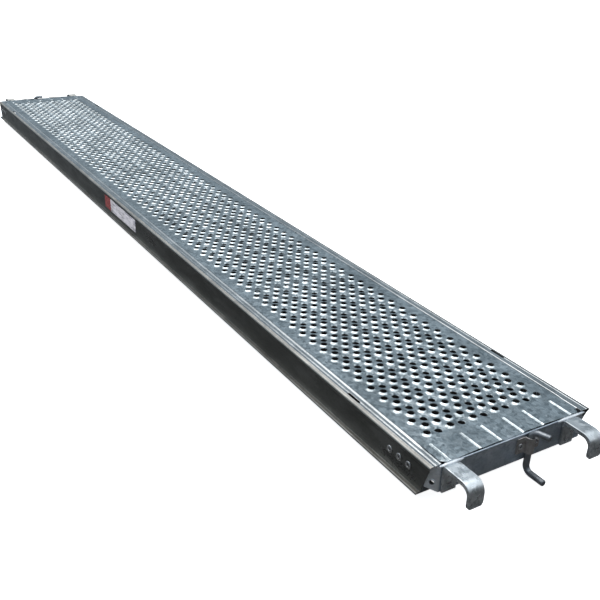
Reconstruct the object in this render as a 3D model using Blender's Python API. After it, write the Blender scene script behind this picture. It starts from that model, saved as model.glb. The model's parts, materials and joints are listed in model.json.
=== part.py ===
"""Steel scaffold plank: perforated deck sheet between two roll-formed side beams, with an end cap,
two tube hooks and one swivelling latch rod at each end.

Metres, +Z up. The plank lies along Y, the near end is at -Y and +X is to its right.
The origin is below the plank's middle, level with the bottom of the latch rods' feet.
The far end is the near end turned half a turn about Z, apart from how far its latch is turned.
Left and right in an end's names are as seen from outside, facing that end.
"""
import math

import bmesh
import bpy
from mathutils import Matrix, Vector

# Driving dimensions
DECK_WIDTH = 0.320        # over the beams' top edges
HOOK_CENTRES = 2.571      # between the middles of the two ends' hook throats
THROAT = 0.047            # clear width of a hook: the latch's saddle and a 38 mm tube
BEAM_HEIGHT = 0.057
SHEET = 0.0015            # deck and beam sheet
CAP_SHEET = 0.0022        # end cap sheet
SADDLE_SHEET = 0.002
ROD_RADIUS = 0.005
GAP = 0.0003              # left between pieces that touch

# Hooks
HOOK_WIDTH = 0.028
STRAP_THICKNESS = 0.0075
LEG_THICKNESS = 0.004
TIP_THICKNESS = 0.006
HOOK_TIP_DEPTH = 0.039    # below the deck
HOOK_X = (-0.1255, 0.110)  # the two hooks at the near end
HEEL_BEND = 0.0075        # where the leg turns into the strap, outside and inside
HEEL_FILLET = 0.0065

# End cap
CAP_FRONT = GAP + CAP_SHEET            # cap's outer face, beyond the deck's end
CAP_DEPTH = 0.046                      # its lower edge, below the deck
CAP_TOP = 0.0015                       # its upper edge, below the deck
CHAMFER = 0.014                        # the slanted plate at each corner, in plan
CORNER_HOLE = 0.0035
CORNER_HOLE_DEPTH = 0.031
LEG_FRONT = CAP_FRONT + GAP + LEG_THICKNESS
BODY_LENGTH = HOOK_CENTRES - 2 * (LEG_FRONT + THROAT / 2)
HALF_LENGTH = BODY_LENGTH / 2
HALF_WIDTH = DECK_WIDTH / 2

# Latch
LATCH_X = 0.025
LATCH_OUT = 0.008         # shank's axis beyond the deck's end
FOOT_DEPTH = 0.0645       # foot's axis below the deck
ARM_HEIGHT = 0.0045       # upper arm's axis above the deck
FOOT_REACH = 0.038
ARM_REACH = 0.029
ARM_TWIST = math.radians(20)
ROD_BEND = 0.011
FAR_LATCH_TURN = math.radians(-110)
SADDLE_TOP = 0.005
SADDLE_DEPTH = 0.032
SADDLE_HALF = 0.023

# Rivets
WEB_RIVET_Y = (0.0458, 0.0675, 0.0892)  # from the plank's end
WEB_RIVET_DEPTH = 0.0255
SADDLE_RIVET_OFFSET = 0.016
SADDLE_RIVET_DEPTH = 0.019

# Beam section, measured inwards from the deck's outer edge and down from the deck
WEB_OUTER = 0.002
LIP_OUT = 0.005
DECK_EDGE = 0.0225        # where the deck sheet starts
BEAD_HEIGHT = 0.0015
LEDGE_END = 0.040
FLANGE_END = 0.028
END_SETBACK = 0.018       # how far the beam's lower edge is cut back from its end
SLOT_FROM_END = 0.195
SLOT_LENGTH = 0.032
SLOT_WIDTH = 0.005
SLOT_INSET = 0.0092

STIFFENER_Y = (-0.63, 0.0, 0.63)
LABEL_Y = -0.0345
LABEL_SIZE = (0.220, 0.0325)
LABEL_DEPTH = 0.0255

DECK_TOP = FOOT_DEPTH + ROD_RADIUS     # height of the deck above the origin

GALVANISED = ("galvanised sheet", (0.42, 0.46, 0.50), 0.38, 0.9)
FORGED = ("galvanised forging", (0.30, 0.34, 0.39), 0.5, 0.8)
RIVET_STEEL = ("rivet steel", (0.50, 0.51, 0.52), 0.35, 0.9)
LABEL_FILM = ("label film", (0.72, 0.70, 0.74), 0.5, 0.0)


def clear_scene():
    for item in list(bpy.data.objects):
        bpy.data.objects.remove(item, do_unlink=True)


def material(spec):
    """A Principled material from (name, colour, roughness, metallic), made once."""
    name, colour, roughness, metallic = spec
    found = bpy.data.materials.get(name)
    if found:
        return found
    made = bpy.data.materials.new(name)
    made.use_nodes = True
    shader = made.node_tree.nodes["Principled BSDF"]
    shader.inputs["Base Color"].default_value = (*colour, 1.0)
    shader.inputs["Roughness"].default_value = roughness
    shader.inputs["Metallic"].default_value = metallic
    return made


def add_object(name, mesh_data, spec, matrix=None):
    item = bpy.data.objects.new(name, mesh_data)
    if spec and not mesh_data.materials:
        mesh_data.materials.append(material(spec))
    if matrix is not None:
        item.matrix_world = matrix
    bpy.context.scene.collection.objects.link(item)
    return item


def finish_mesh(name, bm, smooth_angle=40):
    """Close off a bmesh: outward normals, smooth shading with sharp edges kept."""
    bmesh.ops.recalc_face_normals(bm, faces=bm.faces)
    if bm.calc_volume(signed=True) < 0:
        bmesh.ops.reverse_faces(bm, faces=bm.faces)
    made = bpy.data.meshes.new(name)
    bm.to_mesh(made)
    bm.free()
    made.shade_smooth()
    made.set_sharp_from_angle(angle=math.radians(smooth_angle))
    return made


def half_turn(near_matrix):
    """The same place at the far end."""
    return Matrix.Rotation(math.pi, 4, "Z") @ near_matrix


def rounded(points, radius, steps=3):
    """A polyline with each inner corner replaced by an arc of the given radius."""
    path = [Vector(points[0])]
    for before, corner, after in zip(points, points[1:], points[2:]):
        corner = Vector(corner)
        into = (Vector(before) - corner)
        out = (Vector(after) - corner)
        half = into.angle(out) / 2
        cut = min(radius / math.tan(half), 0.48 * into.length, 0.48 * out.length)
        into.normalize()
        out.normalize()
        centre = corner + (into + out).normalized() * (cut / math.cos(half))
        start = corner + into * cut - centre
        end = corner + out * cut - centre
        for step in range(steps + 1):
            path.append(centre + start.lerp(end, step / steps).normalized() * start.length)
    path.append(Vector(points[-1]))
    return path


def sides_of(path, thickness):
    """The two offset lines of a sheet whose middle line is path, with mitred corners."""
    left, right = [], []
    for index, point in enumerate(path):
        before = path[max(index - 1, 0)]
        after = path[min(index + 1, len(path) - 1)]
        first = (point - before) if index else (after - point)
        second = (after - point) if index < len(path) - 1 else (point - before)
        first, second = first.normalized(), second.normalized()
        normal = Vector((-first.y - second.y, first.x + second.x)).normalized()
        stretch = 1 / max(normal.dot(Vector((-first.y, first.x))), 0.5)
        left.append(point + normal * (thickness / 2 * stretch))
        right.append(point - normal * (thickness / 2 * stretch))
    return left, right


def sheet_outline(path, thickness):
    left, right = sides_of(path, thickness)
    return left + right[::-1]


def prism(name, outline, place_start, place_end):
    """A closed solid between two copies of a flat outline; each place_ call gives a corner."""
    bm = bmesh.new()
    start = [bm.verts.new(place_start(point)) for point in outline]
    end = [bm.verts.new(place_end(point)) for point in outline]
    count = len(outline)
    for index in range(count):
        following = (index + 1) % count
        bm.faces.new((start[index], start[following], end[following], end[index]))
    caps = [bm.faces.new(start[::-1]), bm.faces.new(end)]
    bmesh.ops.triangulate(bm, faces=caps)
    return finish_mesh(name, bm)


def turned(name, profile, steps):
    """A ring turned about Z from a closed (radius, height) profile that stays off the axis."""
    bm = bmesh.new()
    rings = []
    for step in range(steps):
        angle = 2 * math.pi * step / steps
        rings.append([bm.verts.new((radius * math.cos(angle), radius * math.sin(angle), height))
                      for radius, height in profile])
    count = len(profile)
    for step in range(steps):
        ring, following = rings[step], rings[(step + 1) % steps]
        for index in range(count):
            after = (index + 1) % count
            bm.faces.new((ring[index], ring[after], following[after], following[index]))
    return finish_mesh(name, bm)


def box_mesh(name, low, high):
    bm = bmesh.new()
    bmesh.ops.create_cube(bm, size=1.0)
    low, high = Vector(low), Vector(high)
    for vert in bm.verts:
        share = vert.co + Vector((0.5, 0.5, 0.5))
        vert.co = Vector(low[axis] + (high[axis] - low[axis]) * share[axis] for axis in range(3))
    return finish_mesh(name, bm)


def cut(target, cutter_mesh, matrix):
    """Subtract a cutter, which stays in the file as a wire guide."""
    cutter = add_object(f"cutter_{target.name}_{len(target.modifiers)}", cutter_mesh, None, matrix)
    cutter.hide_render = True
    cutter.display_type = "WIRE"
    modifier = target.modifiers.new("cut", "BOOLEAN")
    modifier.operation = "DIFFERENCE"
    modifier.solver = "EXACT"
    modifier.object = cutter


def round_cutter(radius, length, steps=12):
    bm = bmesh.new()
    bmesh.ops.create_cone(bm, cap_ends=True, segments=steps, radius1=radius, radius2=radius, depth=length)
    return finish_mesh("round cutter", bm)


def beam_path():
    """Middle line of the beam's sheet, inwards from the outer edge (x) and up from the deck (y)."""
    flat = -SHEET / 2
    crest = flat + BEAD_HEIGHT
    ledge = -SHEET - GAP - SHEET / 2
    web = WEB_OUTER + SHEET / 2
    bottom = -BEAM_HEIGHT + SHEET / 2
    hem = bottom + 2 * SHEET
    points = [
        (LEDGE_END, ledge), (0.0215, ledge), (0.0209, crest - 0.0003), (0.0198, crest), (0.0174, flat),
        (0.0126, flat), (0.0103, flat - 0.0005), (0.0092, flat - 0.0005), (0.0077, flat - 0.0001),
        (0.0066, flat - 0.0001), (0.0036, flat - 0.0008), (0.0018, flat - 0.0017),
        (SHEET / 2, flat - 0.0027), (SHEET / 2, -0.0055), (web, -0.0080), (web, hem),
        (-LIP_OUT + SHEET / 2, hem), (-LIP_OUT + SHEET / 2, bottom),
        (FLANGE_END - SHEET / 2, bottom), (FLANGE_END - SHEET / 2, bottom + 0.009),
    ]
    return rounded([Vector(point) for point in points], 0.0014, steps=2)


def beam_mesh():
    """The left beam; the right one is the same beam turned end for end."""
    slope = END_SETBACK / BEAM_HEIGHT

    def place(end):
        def corner(point):
            setback = -point.y * slope
            return (-HALF_WIDTH + point.x, end * (HALF_LENGTH - setback), DECK_TOP + point.y)
        return corner

    return prism("side beam", sheet_outline(beam_path(), SHEET), place(-1), place(1))


def cut_beam(beam):
    """Rivet holes in the web and a slot in the top groove, at both ends of a left beam."""
    for end in (-1, 1):
        for from_end in WEB_RIVET_Y:
            place = Matrix.Translation((-HALF_WIDTH + WEB_OUTER, end * (HALF_LENGTH - from_end),
                                        DECK_TOP - WEB_RIVET_DEPTH))
            across = Matrix.Rotation(math.pi / 2, 4, "Y")
            cut(beam, round_cutter(0.0040, 0.008), beam.matrix_world @ place @ across)
        slot_y = end * (HALF_LENGTH - SLOT_FROM_END)
        slot_x = -HALF_WIDTH + SLOT_INSET
        low = (slot_x - SLOT_WIDTH / 2, slot_y - SLOT_LENGTH / 2, DECK_TOP - 0.008)
        high = (slot_x + SLOT_WIDTH / 2, slot_y + SLOT_LENGTH / 2, DECK_TOP + 0.003)
        cut(beam, box_mesh("slot cutter", low, high), beam.matrix_world)


def make_beams():
    upright = Matrix.Identity(4)
    for name, matrix in (("side_beam_left", upright), ("side_beam_right", half_turn(upright))):
        cut_beam(add_object(name, beam_mesh(), GALVANISED, matrix))


def make_deck():
    inset = HALF_WIDTH - DECK_EDGE
    low = (-inset, -HALF_LENGTH, DECK_TOP - SHEET)
    high = (inset, HALF_LENGTH, DECK_TOP)
    add_object("deck_sheet", box_mesh("deck sheet", low, high), GALVANISED)


def make_stiffeners():
    """Top-hat channels that carry the deck sheet between the two webs."""
    top = DECK_TOP - 0.0056
    path = rounded([Vector(point) for point in (
        (-0.032, top - 0.019), (-0.019, top - 0.019), (-0.016, top), (0.016, top),
        (0.019, top - 0.019), (0.032, top - 0.019))], 0.003, steps=2)
    reach = HALF_WIDTH - WEB_OUTER - SHEET - GAP
    for number, y in enumerate(STIFFENER_Y, start=1):
        mesh_data = prism("deck stiffener", sheet_outline(path, SHEET),
                          lambda point: (-reach, point.x, point.y),
                          lambda point: (reach, point.x, point.y))
        add_object(f"deck_stiffener_{number}", mesh_data, GALVANISED, Matrix.Translation((0, y, 0)))


def cap_stations():
    """Middle line of the near end cap in plan, with its lower and upper edges: (x, y, low, high)."""
    side = HALF_WIDTH - WEB_OUTER - SHEET - GAP - CAP_SHEET / 2
    front = -HALF_LENGTH - GAP - CAP_SHEET / 2
    corner = rounded([Vector((side, front + 0.03)), Vector((side, front + CHAMFER)),
                      Vector((side - CHAMFER, front)), Vector((0, front))], 0.004)
    half = [(side, -HALF_LENGTH + 0.102, -0.033, -0.018), (side, -HALF_LENGTH + 0.094, -0.040, -0.011)]
    for point in corner[:-1]:
        turn = (side - point.x) / CHAMFER
        high = -0.011 if point.y > front + CHAMFER + 0.004 else -0.0065 + (0.0065 - CAP_TOP) * turn
        half.append((point.x, point.y, -0.041 - (CAP_DEPTH - 0.041) * turn, high))
    return half + [(-x, y, low, high) for x, y, low, high in reversed(half)]


def cap_mesh():
    stations = cap_stations()
    left, right = sides_of([Vector(station[:2]) for station in stations], CAP_SHEET)
    bm = bmesh.new()
    rings = []
    for station, outer, inner in zip(stations, left, right):
        low, high = DECK_TOP + station[2], DECK_TOP + station[3]
        rings.append([bm.verts.new((*corner, height)) for corner, height in
                      ((outer, low), (outer, high), (inner, high), (inner, low))])
    for ring, following in zip(rings, rings[1:]):
        for index in range(4):
            after = (index + 1) % 4
            bm.faces.new((ring[index], ring[after], following[after], following[index]))
    bm.faces.new(rings[0][::-1])
    bm.faces.new(rings[-1])
    bmesh.ops.triangulate(bm, faces=bm.faces)
    return finish_mesh("end cap", bm)


def make_end_cap(name, turn):
    cap = add_object(name, cap_mesh(), GALVANISED, turn)
    across = Matrix.Rotation(math.pi / 2, 4, "Y")
    outward = Matrix.Rotation(math.pi / 2, 4, "X")
    for side in (-1, 1):
        for from_end in WEB_RIVET_Y:
            place = Matrix.Translation((side * (HALF_WIDTH - 0.005), -HALF_LENGTH + from_end,
                                        DECK_TOP - WEB_RIVET_DEPTH))
            cut(cap, round_cutter(0.0040, 0.012), turn @ place @ across)
        place = Matrix.Translation((LATCH_X + side * SADDLE_RIVET_OFFSET, -HALF_LENGTH,
                                    DECK_TOP - SADDLE_RIVET_DEPTH))
        cut(cap, round_cutter(0.0030, 0.012), turn @ place @ outward)
        inset = WEB_OUTER + SHEET + GAP + (CAP_SHEET + CHAMFER) / 2
        corner = Matrix.Translation((side * (HALF_WIDTH - inset),
                                     -HALF_LENGTH - CAP_FRONT + (CAP_SHEET + CHAMFER) / 2,
                                     DECK_TOP - CORNER_HOLE_DEPTH))
        slant = Matrix.Rotation(side * math.pi / 4, 4, "Z") @ outward
        cut(cap, round_cutter(CORNER_HOLE, 0.014), turn @ corner @ slant)


def hook_outline():
    """Side view of a hook: distance beyond the deck's end (x) and height above the deck (y)."""
    back = CAP_FRONT + GAP
    inner = LEG_FRONT + THROAT
    outer = inner + TIP_THICKNESS
    top = -0.001
    under = top - STRAP_THICKNESS
    outline = [Vector((back, -CAP_DEPTH))]
    for step in range(5):
        angle = math.pi / 2 * step / 4
        outline.append(Vector((back + HEEL_BEND - HEEL_BEND * math.cos(angle),
                               top - HEEL_BEND + HEEL_BEND * math.sin(angle))))
    bend = 0.019
    for step in range(7):
        angle = math.pi / 2 * step / 6
        outline.append(Vector((outer - bend + bend * math.sin(angle), top - bend + bend * math.cos(angle))))
    outline += [Vector((outer, -HOOK_TIP_DEPTH)), Vector((inner, -HOOK_TIP_DEPTH))]
    bend = 0.012
    for step in range(6):
        angle = math.pi / 2 * step / 5
        outline.append(Vector((inner - bend + bend * math.cos(angle), under - bend + bend * math.sin(angle))))
    for step in range(5):
        angle = math.pi / 2 * step / 4
        outline.append(Vector((LEG_FRONT + HEEL_FILLET - HEEL_FILLET * math.sin(angle),
                               under - HEEL_FILLET + HEEL_FILLET * math.cos(angle))))
    outline.append(Vector((LEG_FRONT, -CAP_DEPTH)))
    return outline


def make_hook(name, x, turn):
    half = HOOK_WIDTH / 2
    mesh_data = prism("hook", hook_outline(),
                      lambda point: (-half, -point.x, point.y),
                      lambda point: (half, -point.x, point.y))
    add_object(name, mesh_data, FORGED, turn @ Matrix.Translation((x, -HALF_LENGTH, DECK_TOP)))


def rod_curve():
    """Latch rod about its shank's axis: upper arm, shank and foot, with a bend at each corner."""
    arm = Vector((math.sin(ARM_TWIST), -math.cos(ARM_TWIST), 0))
    foot = Vector((0, -1, 0))
    top = Vector((0, 0, DECK_TOP + ARM_HEIGHT))
    bottom = Vector((0, 0, DECK_TOP - FOOT_DEPTH))
    corners = [top + arm * ARM_REACH, top, bottom, bottom + foot * FOOT_REACH]
    path = rounded(corners, ROD_BEND, steps=5)
    made = bpy.data.curves.new("latch rod", "CURVE")
    made.dimensions = "3D"
    made.bevel_depth = ROD_RADIUS
    made.bevel_resolution = 4
    made.use_fill_caps = True
    spline = made.splines.new("POLY")
    spline.points.add(len(path) - 1)
    for point, place in zip(spline.points, path):
        point.co = (*place, 1.0)
    return made


def saddle_path():
    """Plan of the saddle about the rod's axis: a half-round over the rod between two flat ears."""
    flat = LATCH_OUT - CAP_FRONT - GAP - SADDLE_SHEET / 2
    steps = 6
    radius = (ROD_RADIUS + GAP + SADDLE_SHEET / 2) / math.cos(math.pi / 2 / steps)
    path = [Vector((-SADDLE_HALF, flat)), Vector((-radius - 0.0015, flat)), Vector((-radius, flat - 0.0015))]
    for step in range(steps + 1):
        angle = math.pi * step / steps
        path.append(Vector((-radius * math.cos(angle), -radius * math.sin(angle))))
    return path + [Vector((-point.x, point.y)) for point in reversed(path[:3])]


def make_latch(end, turn, rest_turn):
    axis = Matrix.Translation((LATCH_X, -HALF_LENGTH - LATCH_OUT, 0))
    add_object(f"latch_rod_{end}", rod_curve(), FORGED, turn @ axis @ Matrix.Rotation(rest_turn, 4, "Z"))
    low, high = DECK_TOP - SADDLE_DEPTH, DECK_TOP - SADDLE_TOP
    mesh_data = prism("latch saddle", sheet_outline(saddle_path(), SADDLE_SHEET),
                      lambda point: (point.x, point.y, low), lambda point: (point.x, point.y, high))
    saddle = add_object(f"latch_saddle_{end}", mesh_data, FORGED, turn @ axis)
    outward = Matrix.Rotation(math.pi / 2, 4, "X")
    for side, word in ((-1, "left"), (1, "right")):
        place = turn @ Matrix.Translation((LATCH_X + side * SADDLE_RIVET_OFFSET, -HALF_LENGTH - CAP_FRONT,
                                           DECK_TOP - SADDLE_RIVET_DEPTH)) @ outward
        cut(saddle, round_cutter(0.0030, 0.012), place)
        grip = (-CAP_SHEET, GAP + SADDLE_SHEET)
        add_object(f"saddle_rivet_{end}_{word}", rivet_mesh(0.0027, 0.0016, 0.0052, grip), RIVET_STEEL, place)


def rivet_mesh(barrel, bore, head, grip):
    """A hollow rivet along Z that clamps the sheets between the two heights in grip."""
    low, high = grip[0] - GAP, grip[1] + GAP
    dome, tail = 0.0016, 0.0012
    profile = [(bore, low - tail), (head * 0.8, low - tail), (head * 0.8, low), (barrel, low), (barrel, high),
               (head, high), (head * 0.9, high + dome * 0.7), (head * 0.6, high + dome),
               (bore, high + dome * 0.5)]
    return turned("hollow rivet", profile, 12)


def make_web_rivets(end, turn):
    across = Matrix.Rotation(math.pi / 2, 4, "Y")
    grip = (-SHEET - GAP - CAP_SHEET, 0.0)
    for side, word in ((-1, "left"), (1, "right")):
        facing = Matrix.Rotation(math.pi if side < 0 else 0, 4, "Z") @ across
        for number, from_end in enumerate(WEB_RIVET_Y, start=1):
            place = Matrix.Translation((side * (HALF_WIDTH - WEB_OUTER), -HALF_LENGTH + from_end,
                                        DECK_TOP - WEB_RIVET_DEPTH))
            add_object(f"web_rivet_{end}_{word}_{number}", rivet_mesh(0.0036, 0.0022, 0.0060, grip),
                       RIVET_STEEL, turn @ place @ facing)


def make_end(end, turn, rest_turn):
    make_end_cap(f"end_cap_{end}", turn)
    for word, x in zip(("left", "right"), HOOK_X):
        make_hook(f"hook_{end}_{word}", x, turn)
    make_latch(end, turn, rest_turn)
    make_web_rivets(end, turn)


def make_label():
    face = -HALF_WIDTH + WEB_OUTER - GAP
    half_length, half_height = LABEL_SIZE[0] / 2, LABEL_SIZE[1] / 2
    low = (face - 0.0003, LABEL_Y - half_length, DECK_TOP - LABEL_DEPTH - half_height)
    high = (face, LABEL_Y + half_length, DECK_TOP - LABEL_DEPTH + half_height)
    add_object("side_label", box_mesh("side label", low, high), LABEL_FILM)


def main():
    clear_scene()
    make_beams()
    make_deck()
    make_stiffeners()
    make_end("near", Matrix.Identity(4), 0.0)
    make_end("far", half_turn(Matrix.Identity(4)), FAR_LATCH_TURN)
    make_label()


main()
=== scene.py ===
"""Looks for the scaffold plank: perforated deck, roll-formed beams, end caps, hooks, latches and finishes.

Metres in the frame's own axes: the plank lies along Y, its near end at -Y. Near-end pieces are made in
place, and the far end's are the same shapes turned half a turn about Z.
"""
import json
import math

import bmesh
import bpy
import numpy as np
from mathutils import Matrix, Quaternion, Vector
from mathutils.geometry import delaunay_2d_cdt
from mathutils.kdtree import KDTree


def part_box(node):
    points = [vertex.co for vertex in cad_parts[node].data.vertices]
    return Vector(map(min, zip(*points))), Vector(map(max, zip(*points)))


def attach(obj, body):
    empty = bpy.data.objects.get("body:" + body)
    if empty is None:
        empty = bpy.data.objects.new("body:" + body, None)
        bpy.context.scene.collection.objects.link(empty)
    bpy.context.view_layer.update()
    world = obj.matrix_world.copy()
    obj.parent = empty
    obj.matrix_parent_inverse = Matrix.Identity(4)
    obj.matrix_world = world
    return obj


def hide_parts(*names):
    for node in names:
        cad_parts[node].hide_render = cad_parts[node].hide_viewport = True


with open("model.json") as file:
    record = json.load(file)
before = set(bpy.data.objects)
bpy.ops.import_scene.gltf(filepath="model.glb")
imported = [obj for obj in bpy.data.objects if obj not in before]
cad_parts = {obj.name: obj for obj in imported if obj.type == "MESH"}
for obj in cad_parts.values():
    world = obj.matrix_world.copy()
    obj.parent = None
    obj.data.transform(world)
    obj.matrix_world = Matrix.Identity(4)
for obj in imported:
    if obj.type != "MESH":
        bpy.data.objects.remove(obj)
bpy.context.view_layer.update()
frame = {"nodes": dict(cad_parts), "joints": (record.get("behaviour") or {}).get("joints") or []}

# Places taken from the frame
_, DECK_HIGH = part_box("deck_sheet")
DECK_TOP = DECK_HIGH.z
HALF_LENGTH = DECK_HIGH.y
DECK_INSET = DECK_HIGH.x
BEAM_LOW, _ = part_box("side_beam_left")
LIP_EDGE = BEAM_LOW.x  # the left beam's lower lip, outermost
BEAM_BOTTOM = BEAM_LOW.z
CAP_LOW, CAP_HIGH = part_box("end_cap_near")
HOOK_LOW, HOOK_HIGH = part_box("hook_near_left")
HOOK_MIDDLES = [sum(corner.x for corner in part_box(f"hook_near_{side}")) / 2 for side in ("left", "right")]
ROD_LOW, ROD_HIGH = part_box("latch_rod_near")
SADDLE_LOW, SADDLE_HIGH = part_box("latch_saddle_near")
LATCH_AXIS = next(joint["pos_m"] for joint in frame["joints"] if joint["name"] == "near_latch_turn")
LATCH_X = LATCH_AXIS[0]
LATCH_OUT = -HALF_LENGTH - LATCH_AXIS[1]  # the shank's axis, beyond the deck's end
FAR_LATCH_TURN = math.radians(-110)  # how far the far latch is turned aside

SHEET = 0.0015  # deck and beam sheet
CAP_SHEET = 0.0022
SADDLE_SHEET = 0.002
ROD_RADIUS = 0.005
GAP = 0.0003  # between pieces that touch
HALF_WIDTH = 0.160  # to the beams' top edges
CAP_FRONT = GAP + CAP_SHEET  # the cap's outer face, beyond the deck's end

# Deck pattern
COLUMN_PITCH = 0.0445
FIRST_ROW = 0.0663  # first and last hole rows, from the deck's ends
HOLES_IN_ROW = 11  # one fewer in the shifted rows
ROW_COUNT = 139  # every second row is shifted by a quarter pitch
HOLE_RADIUS = 0.0059
SHOULDER_RADIUS = 0.0070
DIMPLE_RADIUS = 0.0086
DIMPLE_HEIGHT = 0.0018
SUNK_DEPTH = 0.0024
SUNK_RADIUS = 0.0079
SUNK_SHOULDER_RADIUS = 0.0068
SHOULDER_SHARE = 0.63  # of the dimple's height, left at its shoulder
SKIRT_SHARE = 0.11  # and left at its foot, where the cell's rim begins
SAG_DEPTH = 0.0003  # the sheet round a sunk dimple is pulled down with it
SAG_RADIUS = 0.0095
SAG_REACH = 2.2 * SAG_RADIUS
SAME_PLACE = 2e-5  # points closer than this are one point
SIDE_SPLITS = 2  # points along each side of a hole's hexagon
RIB_X = (-0.123, -0.066, -0.026, 0.018, 0.059, 0.117)
RIB_LENGTH = 0.045
RIB_WIDTH = 0.0056
RIB_HEIGHT = 0.0019
RIB_FADE = 0.07  # share of its length over which a rib's end sinks away
NOTCH_WIDTH = 0.0075
NOTCH_DEPTH = 0.0085

# Beam section, inwards from the plank's outer edge and down from the deck's top
WEB_OUTER = 0.002
WEB_DEPTH = 0.0085  # where the web starts, below the folded top edge
EDGE_FOLD = 0.004
EDGE_DEPTH = 0.0014  # the fold is dulled below this
EDGE_BAND = 0.0058  # worn strip along the top's outer edge
BEAD_HEIGHT = 0.0015
BEAD_FOOT = 0.0215  # where the bead drops to the ledge under the deck
LEDGE_END = 0.040
LEDGE_DEPTH = 0.01  # deeper than any part of the top
FLANGE_END = 0.028
FLANGE_LIP = 0.009
FOLD_RADIUS = 0.0014
END_SETBACK = 0.018  # how far the beam's lower edge is cut back at its ends
LEDGE_SETBACK = 0.009
BEAD_START = 0.038  # the bead rises between these distances from the end
BEAD_FULL = 0.052
LOW_BEAD = 0.3  # its share of the full height nearer the end
SLOT_FROM_END = 0.195
SLOT_LENGTH = 0.032
SLOT_WIDTH = 0.005
SLOT_INSET = 0.0092
SLOT_MIDDLE = 0.0025
SLOT_CUT = 0.011  # deep enough to pass through the groove's sheet

# End caps, up from the deck's top
CAP_HALF = HALF_WIDTH - WEB_OUTER - SHEET - GAP  # to the outer faces of the cap's wings
CHAMFER = 0.014  # the slanted plate at each corner, in plan
CAP_BEND = 0.004
WING_LOW = -0.041
WING_HIGH = -0.011
WING_TIP = 0.008  # the wing narrows over this length
WING_FRONT_HIGH = -0.0065
CORNER_HOLE = 0.0035
CORNER_HOLE_DEPTH = 0.031
WELD_RADIUS = 0.0031

# Rivets
WEB_RIVET_Y = (0.0458, 0.0675, 0.0892)  # from the plank's end
WEB_RIVET_DEPTH = 0.0255
WEB_RIVET_HOLE = 0.0040
SADDLE_RIVET_OFFSET = 0.016
SADDLE_RIVET_DEPTH = 0.019
SADDLE_RIVET_HOLE = 0.0030

# Lengths of the round cutters
WEB_CUT = 0.008
CAP_CUT = 0.012
CORNER_CUT = 0.014

# Hooks, seen from the side: out from the deck's end and up from the deck's top
LEG_THICKNESS = 0.004
LEG_TOP = -0.020
STRAP_TOP = -0.001
STRAP_THICKNESS = 0.0075
TIP_THICKNESS = 0.006
TIP_LOW = -0.039
OUTER_BEND = 0.019
INNER_BEND = 0.012
TIP_CORNER = 0.008
HOOK_EDGE = 0.0012  # radius along the bar's edges


# ---- small helpers

def half_turn():
    return Matrix.Rotation(math.pi, 4, "Z")


ENDS = (("near", Matrix.Identity(4)), ("far", half_turn()))
ACROSS = Matrix.Rotation(math.pi / 2, 4, "Y")  # turns Z across the plank
OUTWARD = Matrix.Rotation(math.pi / 2, 4, "X")  # turns Z out of the near end
LATCH_STAND = Matrix.Translation((*LATCH_AXIS[:2], 0))


def near_place(x, inwards, up):
    """A point by its place across the plank, inwards from the deck's near end and up from its top."""
    return Vector((x, -HALF_LENGTH + inwards, DECK_TOP + up))


def saddle_rivet_place(side, inwards=0.0):
    return near_place(LATCH_X + side * SADDLE_RIVET_OFFSET, inwards, -SADDLE_RIVET_DEPTH)


def linked(name, data):
    made = bpy.data.objects.new(name, data)
    bpy.context.scene.collection.objects.link(made)
    return made


def add_piece(name, shape, body, node, finish):
    """Link a mesh, give it its finish, make it ride on a body and stand for a CAD node."""
    piece = linked(name, shape)
    if finish:
        shape.materials.append(finish)
    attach(piece, body)
    if node:
        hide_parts(node)
    keep = piece.modifiers.new("flat faces stay flat", "WEIGHTED_NORMAL")
    keep.keep_sharp = True


def dress(shape, materials, index_of):
    """Give a mesh several finishes; index_of says which one a face takes."""
    shape.materials.clear()
    for material in materials:
        shape.materials.append(material)
    for face in shape.polygons:
        face.material_index = index_of(face)


def finish_mesh(name, bm, smooth_angle=38, matrix=None):
    """Close off a bmesh: outward normals, smooth shading with sharp edges kept."""
    bmesh.ops.recalc_face_normals(bm, faces=bm.faces)
    if matrix is not None:
        bmesh.ops.transform(bm, matrix=matrix, verts=bm.verts)
    if bm.calc_volume(signed=True) < 0:
        bmesh.ops.reverse_faces(bm, faces=bm.faces)
    made = bpy.data.meshes.new(name)
    bm.to_mesh(made)
    bm.free()
    made.shade_smooth()
    made.set_sharp_from_angle(angle=math.radians(smooth_angle))
    return made


def rounded(points, radius, steps=5):
    """A polyline with each inner corner replaced by an arc of the given radius."""
    path = [Vector(points[0])]
    for before, corner, after in zip(points, points[1:], points[2:]):
        corner = Vector(corner)
        into = Vector(before) - corner
        out = Vector(after) - corner
        half = into.angle(out) / 2
        cut = min(radius / math.tan(half), 0.48 * into.length, 0.48 * out.length)
        into.normalize()
        out.normalize()
        centre = corner + (into + out).normalized() * (cut / math.cos(half))
        start = corner + into * cut - centre
        end = corner + out * cut - centre
        for step in range(steps + 1):
            path.append(centre + start.lerp(end, step / steps).normalized() * start.length)
    path.append(Vector(points[-1]))
    return path


def arc(centre, radius, first, last, steps):
    """Points on a circle in a plane, between two angles in degrees."""
    points = []
    for step in range(steps + 1):
        angle = math.radians(first + (last - first) * step / steps)
        points.append(Vector((centre[0] + radius * math.cos(angle), centre[1] + radius * math.sin(angle))))
    return points


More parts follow.
